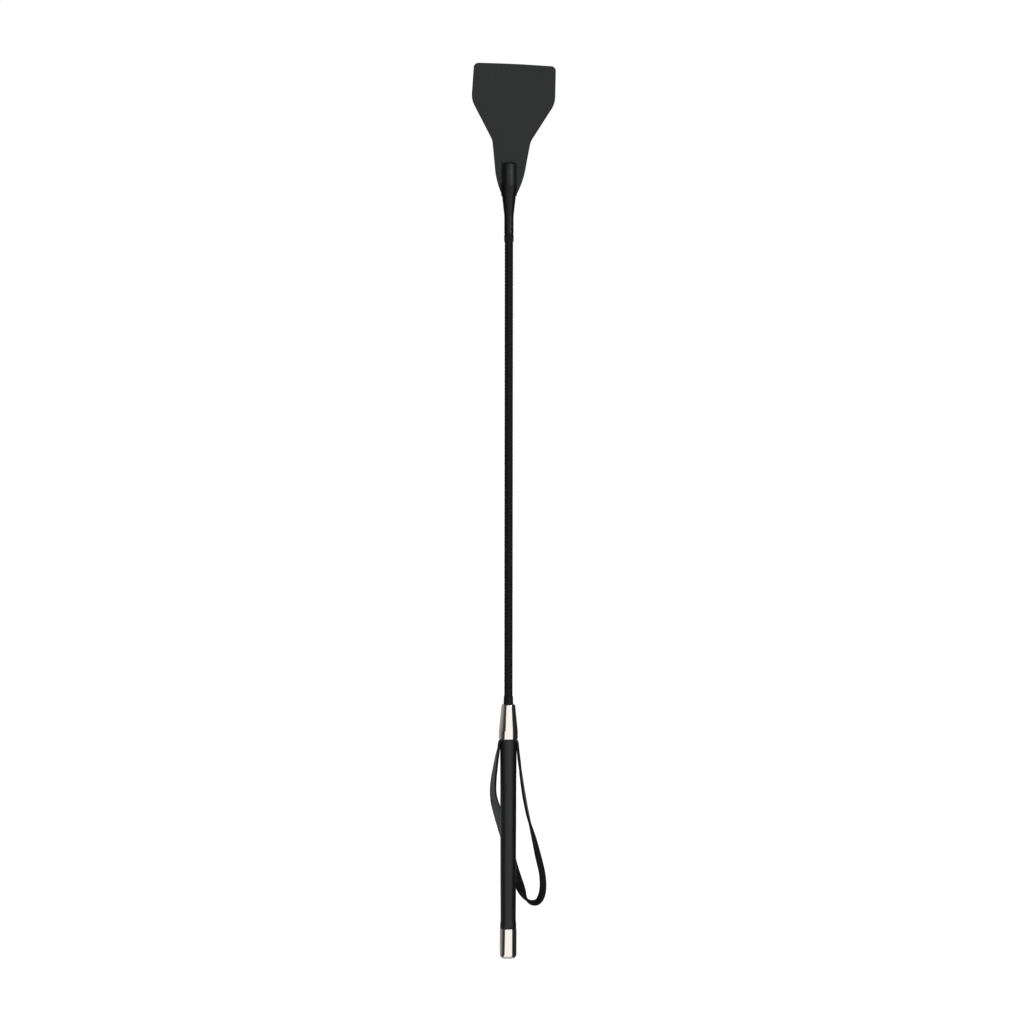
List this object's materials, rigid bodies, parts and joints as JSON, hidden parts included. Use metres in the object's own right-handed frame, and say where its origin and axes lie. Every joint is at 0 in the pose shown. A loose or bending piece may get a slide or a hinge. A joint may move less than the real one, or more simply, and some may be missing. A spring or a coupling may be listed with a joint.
{
  "type": "riding crop",
  "caption": "Riding crop with a metal-capped handle, braided shaft, paddle-shaped leather keeper and a leather wrist loop.",
  "frame": {"origin": "centre of the end cap's flat bottom face, on the crop's axis", "axes": "+Z along the crop from the butt to the keeper, +Y out of the crop's back, +X across the keeper, towards its leaning side"},
  "size_m": [0.0618, 0.0217, 0.6598],
  "materials": {
    "nickel": "polished",
    "grip_leather": "satin",
    "dowel_wood": "plain",
    "black_rubber": "matte",
    "glass_fibre": "smooth",
    "braid": "waxed braid",
    "binding": "waxed thread",
    "sleeve_leather": "smooth satin",
    "keeper_leather": "matte fine grain",
    "strap_leather": "satin fine grain"
  },
  "bodies": {
    "handle": {"end_cap": "nickel", "handle_core": "dowel_wood", "grip_cover": "grip_leather", "ferrule": "nickel", "ferrule_bush": "black_rubber", "core_rod": "glass_fibre", "shaft_cover": "braid", "tip_cap": "black_rubber", "neck_ring": "binding", "neck_sleeve": "sleeve_leather", "pocket_front": "keeper_leather", "pocket_back": "keeper_leather", "strap_tail_left": "strap_leather", "strap_tail_right": "strap_leather", "strap_whipping": "binding"},
    "keeper": {"keeper_front": "keeper_leather", "keeper_back": "keeper_leather"},
    "strap": {"wrist_strap": "strap_leather"}
  },
  "joints": [
    {"name": "keeper_flex", "type": "hinge", "parent": "handle", "child": "keeper", "pos_m": [0.00118, 0, 0.58917], "axis": [0.999, 0, -0.0454], "range_deg": [-70, 70], "stiffness_Nm_per_rad": 0.12},
    {"name": "strap_swing", "type": "hinge", "parent": "handle", "child": "strap", "pos_m": [0, 0, 0.152], "axis": [1, 0, 0], "range_deg": [0, 90]}
  ]
}
